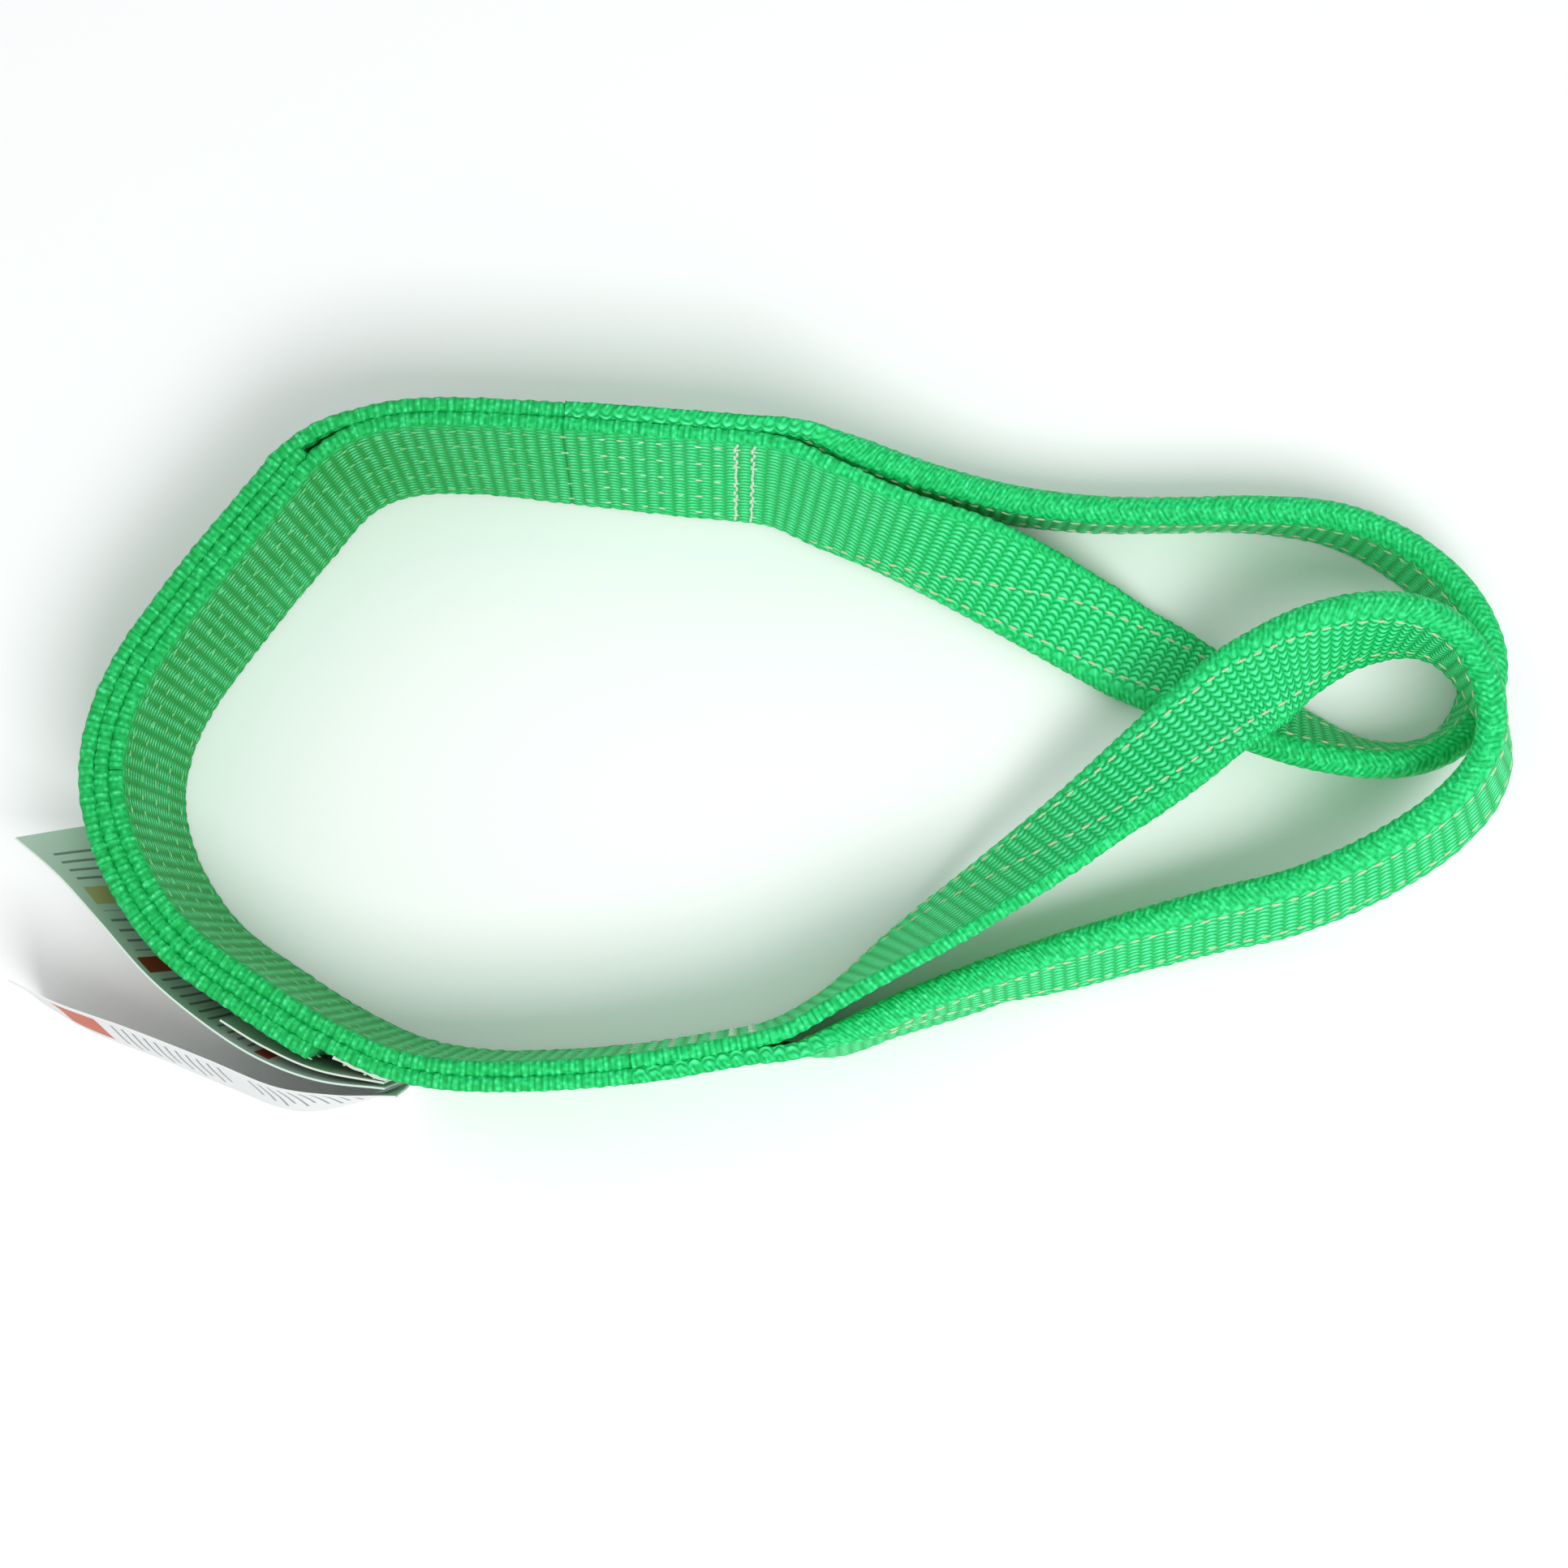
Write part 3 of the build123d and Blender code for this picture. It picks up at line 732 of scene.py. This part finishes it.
def seamLines(line, places, start):
    # wavy seams across the web at distances from the throat, on one face
    x = line["pos"][:, 0]
    order = np.arange(len(x)) < len(x) / 2
    pick = order if start else ~order
    v = web["thickness"] + stitches["proud"] if start else -stitches["proud"]
    lines = []
    for place in places:
        index = np.where(pick)[0][np.argmin(np.abs(x[pick] + place))]
        u = np.linspace(3, web["width"] - 3, 40)
        base = line["pos"][index] + line["across"][index] * u[:, None] + line["face"][index] * v
        way = line["pos"][min(index + 1, len(x) - 1)] - line["pos"][index - 1]
        way = way / np.linalg.norm(way)
        lines.append(base + way * (0.35 * np.sin(u * 1.2))[:, None])
    return lines


eyeStitch = stitches["pitch"], stitches["length"], stitches["radius"]
bodyStitch = stitches["pitch"], stitches["bodyLength"], stitches["bodyRadius"]
seamStitch = stitches["seamPitch"], stitches["seamLength"], stitches["seamRadius"]
upperEyeStitches = sewn("upperEyeStitches", eyeRows(upperLine), *eyeStitch)
lowerEyeStitches = sewn("lowerEyeStitches", eyeRows(lowerLine), *eyeStitch)
armStitches = {}
for label, line in (("upper", upperLine), ("lower", lowerLine)):
    rows = bodyRows(line, "inner", armHalf(line, True)) + bodyRows(line, "outer", armHalf(line, False))
    armStitches[label] = sewn(label + "ArmStitches", rows, *bodyStitch, "white")
    seams = seamLines(line, stitches["seamPlaces"], True) + seamLines(line, stitches["seamPlaces"], False)
    armStitches[label + "Seam"] = sewn(label + "ThroatSeams", seams, *seamStitch, "white")
bodyStitches = {}
for name, face in (("upperMainPly", "inner"), ("lowerMainPly", "inner"), ("upperTailPly", "outer"),
                   ("lowerTailPly", "outer")):
    line = bodyLines[name]
    chosen = np.ones(len(line["pos"]), bool)
    if name == "lowerTailPly":
        chosen = np.arange(len(chosen)) > len(chosen) * (outerEnd - upperCrease) / (lowerCut - upperCrease)
    bodyStitches[name] = sewn(name + "Stitches", bodyRows(line, face, chosen), *bodyStitch, "buried")
print("stitches made")


tags = {
    "thickness": 0.5,
    "height": 45.0,
    "cover": [(-97.0, -81.0, 7.0), (-113.5, -77.6, 7.0), (-126.0, -71.6, 7.5), (-137.0, -64.6, 8.0)],
    "care": [(-97.0, -82.4, 7.0), (-113.5, -79.8, 7.5), (-128.0, -73.8, 8.0), (-142.0, -64.0, 9.0),
             (-154.0, -52.5, 11.0), (-164.5, -38.0, 14.0), (-172.5, -23.5, 20.0), (-178.5, -12.5, 27.0)],
    "rating": [(-97.0, -84.0, 8.0), (-111.0, -89.0, 0.5), (-128.0, -91.5, -6.5), (-146.0, -85.7, -8.0),
               (-166.0, -77.5, -7.0), (-184.0, -70.3, -6.0), (-197.0, -63.0, -5.0)],
}
tagPaint = {
    "cover": makeTagSheet("coverTagSheet", (0.70, 0.76, 0.70, 1), []),
    # painted green reflection and shade: the care tag's sheet colour is greener and darker than the white
    # rating tag
    "care": makeTagSheet("careTagSheet", (0.62, 0.76, 0.67, 1),
                         [(0.066, 0.071, 0.004, 0.041, (0.33, 0.045, 0.012, 1)),
                          (0.088, 0.0935, 0.020, 0.0385, (0.52, 0.46, 0.20, 1)),
                          (0.030, 0.034, 0.004, 0.041, (0.33, 0.045, 0.012, 1))],
                         [(0.036, 0.064, 0.006, 0.038, 0.0030, 0.0008),
                          (0.073, 0.086, 0.006, 0.038, 0.0033, 0.0008),
                          (0.095, 0.106, 0.006, 0.038, 0.0030, 0.0008)]),
    "rating": makeTagSheet("ratingTagSheet", (0.78, 0.79, 0.79, 1),
                           [(0.083, 0.096, 0.010, 0.041, (0.52, 0.085, 0.020, 1))],
                           [(0.010, 0.042, 0.006, 0.040, 0.0030, 0.0008),
                            (0.046, 0.079, 0.006, 0.040, 0.0030, 0.0008)]),
}


def sheetBetween(name, front, back, heights, along, material):
    # a closed thin sheet between two grids of points in millimetres
    rowsCount, cols = front.shape[:2]
    n = rowsCount * cols
    faces = []
    for i in range(rowsCount - 1):
        for j in range(cols - 1):
            a, b, c, d = i * cols + j, i * cols + j + 1, (i + 1) * cols + j + 1, (i + 1) * cols + j
            faces += [(a, b, c, d), (n + d, n + c, n + b, n + a)]
    rim = ([i * cols for i in range(rowsCount)] + [(rowsCount - 1) * cols + j for j in range(1, cols)]
           + [i * cols + cols - 1 for i in range(rowsCount - 2, -1, -1)] + list(range(cols - 2, 0, -1)))
    for a, b in zip(rim, rim[1:] + rim[:1]):
        faces.append((a, b, n + b, n + a))
    mesh = bpy.data.meshes.new(name)
    mesh.from_pydata((np.concatenate([front.reshape(-1, 3), back.reshape(-1, 3)]) * mm).tolist(), [], faces)
    layer = mesh.uv_layers.new(name="webCloth")
    cloth = np.column_stack([np.tile(heights, rowsCount * 2), np.tile(np.repeat(along, cols), 2)]) * mm
    loops = np.empty(len(mesh.loops), int)
    mesh.loops.foreach_get("vertex_index", loops)
    layer.data.foreach_set("uv", cloth[loops].astype(np.float32).reshape(-1))
    mesh.materials.append(material)
    mesh.polygons.foreach_set("use_smooth", [True] * len(mesh.polygons))
    obj = bpy.data.objects.new(name, mesh)
    bpy.context.collection.objects.link(obj)
    turnOutwards(obj)
    mesh.set_sharp_from_angle(angle=radians(40))
    return obj


def tagSheet(name, route, material):
    rows = smoothRows(route, 14)
    along = lengthAlong(rows[:, :2])
    way = travel(rows[:, :2])
    out = np.column_stack([-way[:, 1], way[:, 0], way[:, 2]])
    lean = np.radians(rows[:, 2])[:, None]
    up = np.array([0, 0, 1.0]) * np.cos(lean) + out * np.sin(lean)
    normal = out * np.cos(lean) - np.array([0, 0, 1.0]) * np.sin(lean)
    foot = np.column_stack([rows[:, :2], np.full(len(rows), 0.3)])
    heights = np.linspace(0, tags["height"] - 0.6, 16)
    ripple = 0.25 * np.sin(along[:, None] / 13 + heights[None] / 9)
    grid = foot[:, None] + up[:, None] * heights[None, :, None] + normal[:, None] * (ripple[..., None] + 0.05)
    back = grid + normal[:, None] * tags["thickness"]
    return sheetBetween(name, grid, back, heights, along, material), along[-1]


tagPieces = {key: tagSheet(key + "TagSheet", tags[key], tagPaint[key]) for key in ("cover", "care", "rating")}

# sewn ends of the three tags, a short folded stack on the outside of the web at the lower crease
endLine = resampled(plyStations([(0, 2.0), (1, 2.0)], False, outerEnd + 0.005, lowerCrease - 0.005), 0.8)


def sewnEnds(name, line, low, high, thick, material):
    heights = np.linspace(low, high, 14)
    wave = 0.15 * np.sin(line["along"][:, None] + heights[None] * 0.4)[..., None] - 0.25
    base = line["pos"][:, None] + line["across"][:, None] * heights[None, :, None]
    front = base + line["face"][:, None] * (web["thickness"] + wave)
    back = base + line["face"][:, None] * (web["thickness"] - thick + wave)
    return sheetBetween(name, front, back, heights, line["along"], material)


tagEnds = sewnEnds("tagSewnEnds", endLine, 0.5, 44.5, 1.2, tagPaint["cover"])
endRows = []
for k in (4, len(endLine["pos"]) // 2 + 2, len(endLine["pos"]) - 5):
    u = np.linspace(2, 43, 30)
    endRows.append(endLine["pos"][k] + endLine["across"][k] * u[:, None] + endLine["face"][k] * 2.1)
tagEndStitches = sewn("tagEndStitches", endRows, 3.4, 2.4, 0.45)
print("tags made")


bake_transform(upperEyeWeb)
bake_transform(lowerEyeWeb)
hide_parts("upper_eye_web")
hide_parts("lower_eye_web")

for name, obj in bodyWebs.items():
    half = "upper" if name.startswith("upper") else "lower"
    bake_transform(obj)
    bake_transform(bodyStitches[name])
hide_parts("centre_main_web", "upper_arm_main_web")
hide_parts("centre_upper_tail_web", "upper_arm_tail_web")
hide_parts("lower_arm_main_web")
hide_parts("centre_lower_tail_web", "lower_arm_tail_web")
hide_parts("centre_needle_thread")
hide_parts("centre_bobbin_thread", "upper_tail_end_seam")
for half in ("upper", "lower"):
    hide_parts(half + "_arm_needle_thread", half + "_arm_bobbin_thread")
    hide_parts(half + "_throat_seam")
    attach(armStitches[half], half + "_arm")
    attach(armStitches[half + "Seam"], half + "_arm")
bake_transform(upperEyeStitches)
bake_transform(lowerEyeStitches)
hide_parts("upper_eye_fold_seam", "upper_eye_edge_seam")
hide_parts("lower_eye_fold_seam", "lower_eye_edge_seam")
for key, (obj, length) in tagPieces.items():
    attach(obj, key + "_tag")
    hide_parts(key + "_tag")
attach(tagEnds, "centre")
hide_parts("tag_sewn_ends")
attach(tagEndStitches, "centre")
print("pieces placed on their bodies")


studio = {
    "floorSize": 6.0,
    "floorHeight": -0.0003,
    "worldLight": 0.68,
    "keyPower": 8.0,
    "keySize": 0.5,
    "fillPower": 1.2,
}


def floorMaterial():
    material, tree, shader = shaderBase("paleFloor", 0.9)
    shader.inputs["Base Color"].default_value = (0.92, 0.92, 0.92, 1)
    return material


half = studio["floorSize"] / 2
floorMesh = bpy.data.meshes.new("floor")
corners = [(-half, -half), (half, -half), (half, half), (-half, half)]
floorMesh.from_pydata([(x, y, studio["floorHeight"]) for x, y in corners], [], [(0, 1, 2, 3)])
floorMesh.materials.append(floorMaterial())
floor = bpy.data.objects.new("floor", floorMesh)
bpy.context.collection.objects.link(floor)

world = bpy.data.worlds.new("studio")
bpy.context.scene.world = world
world.use_nodes = True
world.node_tree.nodes["Background"].inputs["Color"].default_value = (0.97, 0.99, 1.0, 1)
world.node_tree.nodes["Background"].inputs["Strength"].default_value = studio["worldLight"]


def softLamp(name, location, tilt, size, power):
    lamp = bpy.data.lights.new(name, "AREA")
    lamp.size = size
    lamp.energy = power
    obj = bpy.data.objects.new(name, lamp)
    obj.location = location
    obj.rotation_euler = [radians(a) for a in tilt]
    bpy.context.collection.objects.link(obj)


softLamp("keyLight", (0.25, -0.55, 0.95), (32, 12, 0), studio["keySize"], studio["keyPower"])
softLamp("fillLight", (-0.7, 0.6, 0.8), (-35, -38, 0), 1.0, studio["fillPower"])

lens = bpy.data.cameras.new("camera")
lens.sensor_fit = "HORIZONTAL"
lens.angle = radians(32.63)
camera = bpy.data.objects.new("camera", lens)
camera.location = (0.0045, -0.1120, 0.7345)
camera.rotation_euler = (radians(8.5), 0, 0)
bpy.context.collection.objects.link(camera)
bpy.context.scene.camera = camera
bpy.context.scene.view_settings.view_transform = "Standard"

bpy.context.view_layer.update()
print("scene ready")
